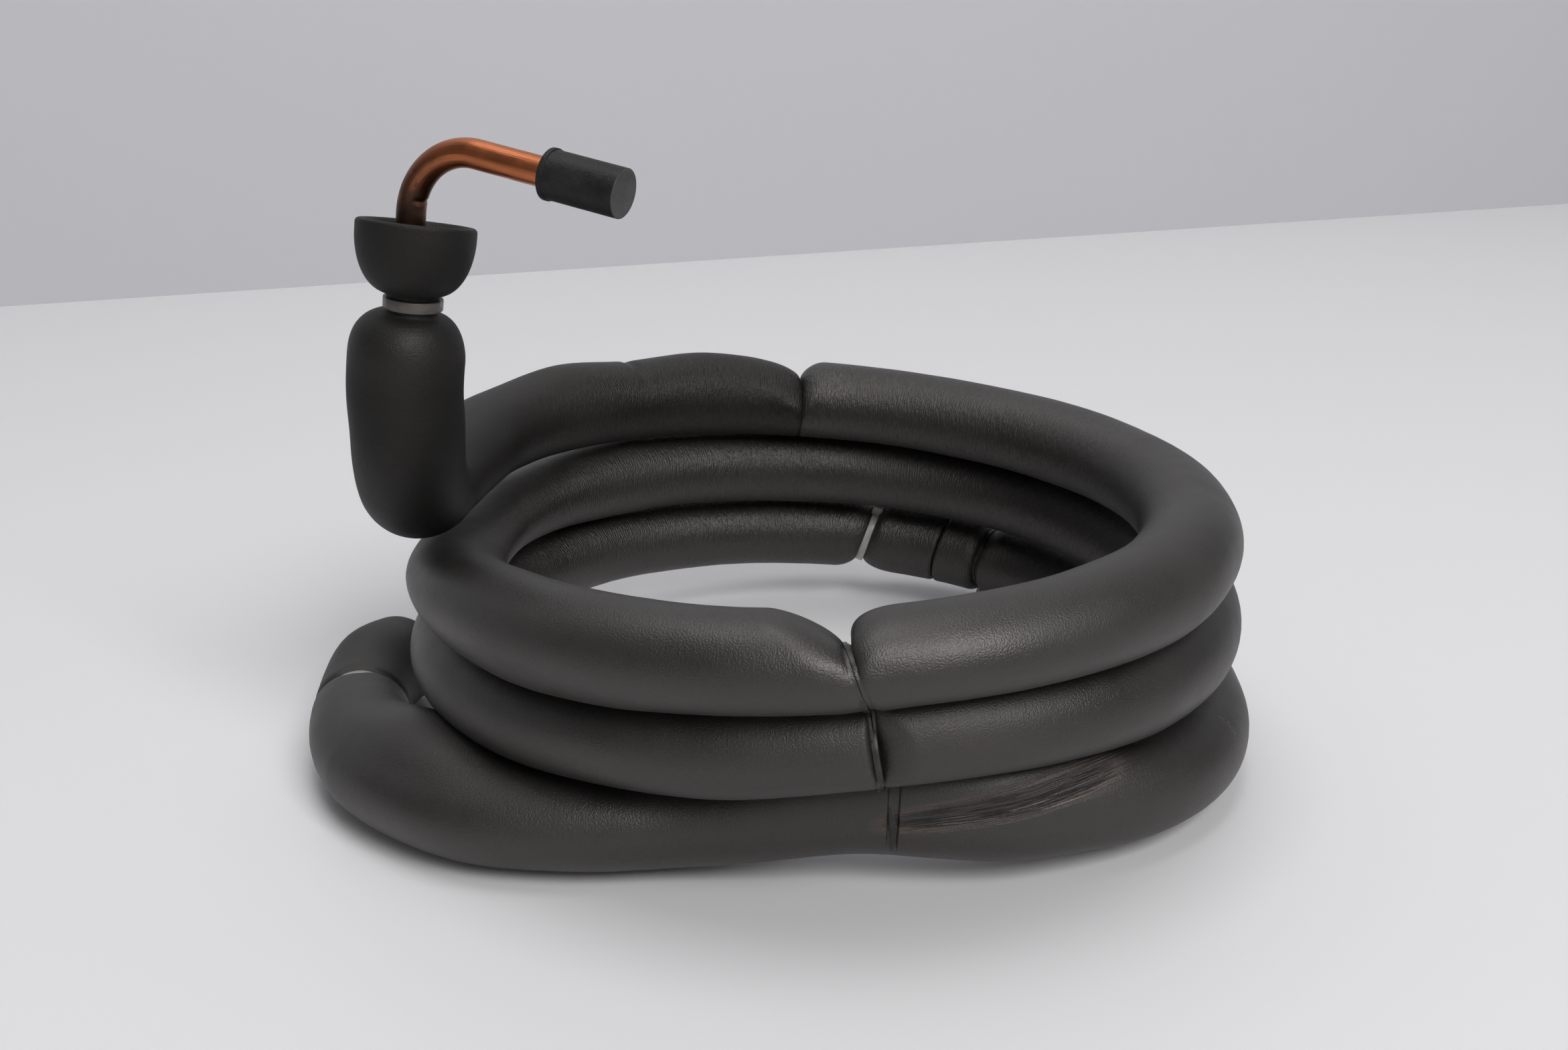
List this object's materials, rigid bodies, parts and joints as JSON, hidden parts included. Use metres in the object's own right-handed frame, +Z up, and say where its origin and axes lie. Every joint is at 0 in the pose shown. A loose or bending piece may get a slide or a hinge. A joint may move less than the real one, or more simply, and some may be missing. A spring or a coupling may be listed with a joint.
{
  "type": "insulated copper tube coil",
  "caption": "Soft copper tube wound into a stacked coil inside black foam sleeves held by cable ties, with a bent bare end closed by a rubber cap.",
  "frame": {"origin": "on the floor, under the middle of the part's box", "axes": "+Z up, +X from the riser towards the right of the coil, -Y towards the front tie and the viewer"},
  "size_m": [0.3436, 0.3092, 0.228],
  "materials": {
    "copper": "dull drawn copper with light brown marks",
    "foam": "matte closed-cell foam skin",
    "cap_rubber": "satin moulded rubber",
    "tie_plastic": "cloudy clear nylon"
  },
  "bodies": {
    "root": {"copper_tube": "copper", "foam_riser": "foam", "foam_top": "foam", "foam_middle": "foam", "foam_lower": "foam", "foam_collar_long": "foam", "foam_collar_short": "foam", "foam_bottom": "foam", "foam_tail": "foam", "end_cap": "cap_rubber", "tie_neck": "tie_plastic", "tie_low_back": "tie_plastic", "tie_low_joint": "tie_plastic", "tie_front": "tie_plastic", "tie_tail_joint": "tie_plastic"}
  },
  "joints": []
}
